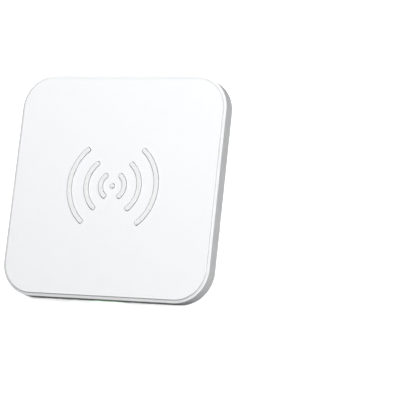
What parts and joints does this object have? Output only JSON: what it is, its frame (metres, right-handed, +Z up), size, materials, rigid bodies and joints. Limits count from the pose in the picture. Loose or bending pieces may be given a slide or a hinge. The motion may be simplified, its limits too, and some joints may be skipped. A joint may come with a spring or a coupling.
{
  "type": "wireless charging pad",
  "caption": "Slim square wireless charging pad with rounded corners, a flat face plate with raised grip ribs, rubber feet and a rear USB-C socket.",
  "frame": {"origin": "on the table, under the middle of the pad (bottom centre of the bounding box)", "axes": "+Z up, out of the charging face; +Y to the rear, where the cable socket is; -Y to the front, where the status light shows; +X to the right seen from the front"},
  "size_m": [0.09, 0.09, 0.0074],
  "materials": {
    "white_abs": "satin",
    "grip_silicone": "satin",
    "black_tape": "matte",
    "foot_rubber": "matte",
    "screw_steel": "satin",
    "light_guide": "gloss",
    "board_laminate": "satin",
    "socket_steel": "polished",
    "socket_insulator": "satin",
    "chip_resin": "matte",
    "capacitor_ceramic": "satin",
    "inductor_ferrite": "matte",
    "led_resin": "gloss",
    "foam_tape": "matte",
    "shield_ferrite": "matte",
    "polyimide_film": "gloss",
    "copper_litz": "satin",
    "epoxy_bead": "satin"
  },
  "bodies": {
    "root": {"bottom_cover": "white_abs", "bridge_transistor_1": "chip_resin", "bridge_transistor_2": "chip_resin", "charging_coil": "copper_litz", "circuit_board": "board_laminate", "coil_film": "polyimide_film", "coil_foam_tape": "foam_tape", "controller_chip": "chip_resin", "ferrite_shield": "shield_ferrite", "foot_front_left": "foot_rubber", "foot_front_right": "foot_rubber", "foot_rear_left": "foot_rubber", "foot_rear_right": "foot_rubber", "grip_insert": "grip_silicone", "housing_frame": "white_abs", "input_capacitor_1": "capacitor_ceramic", "input_capacitor_2": "capacitor_ceramic", "input_inductor": "inductor_ferrite", "light_pipe": "light_guide", "resonant_capacitor_1": "capacitor_ceramic", "resonant_capacitor_2": "capacitor_ceramic", "resonant_capacitor_3": "capacitor_ceramic", "resonant_capacitor_4": "capacitor_ceramic", "screw_front_left": "screw_steel", "screw_front_right": "screw_steel", "screw_rear_left": "screw_steel", "screw_rear_right": "screw_steel", "sense_resistor": "chip_resin", "status_led": "led_resin", "thermistor": "epoxy_bead", "top_plate": "white_abs", "top_plate_tape": "black_tape", "usb_c_shell": "socket_steel", "usb_c_tongue": "socket_insulator"}
  },
  "joints": []
}
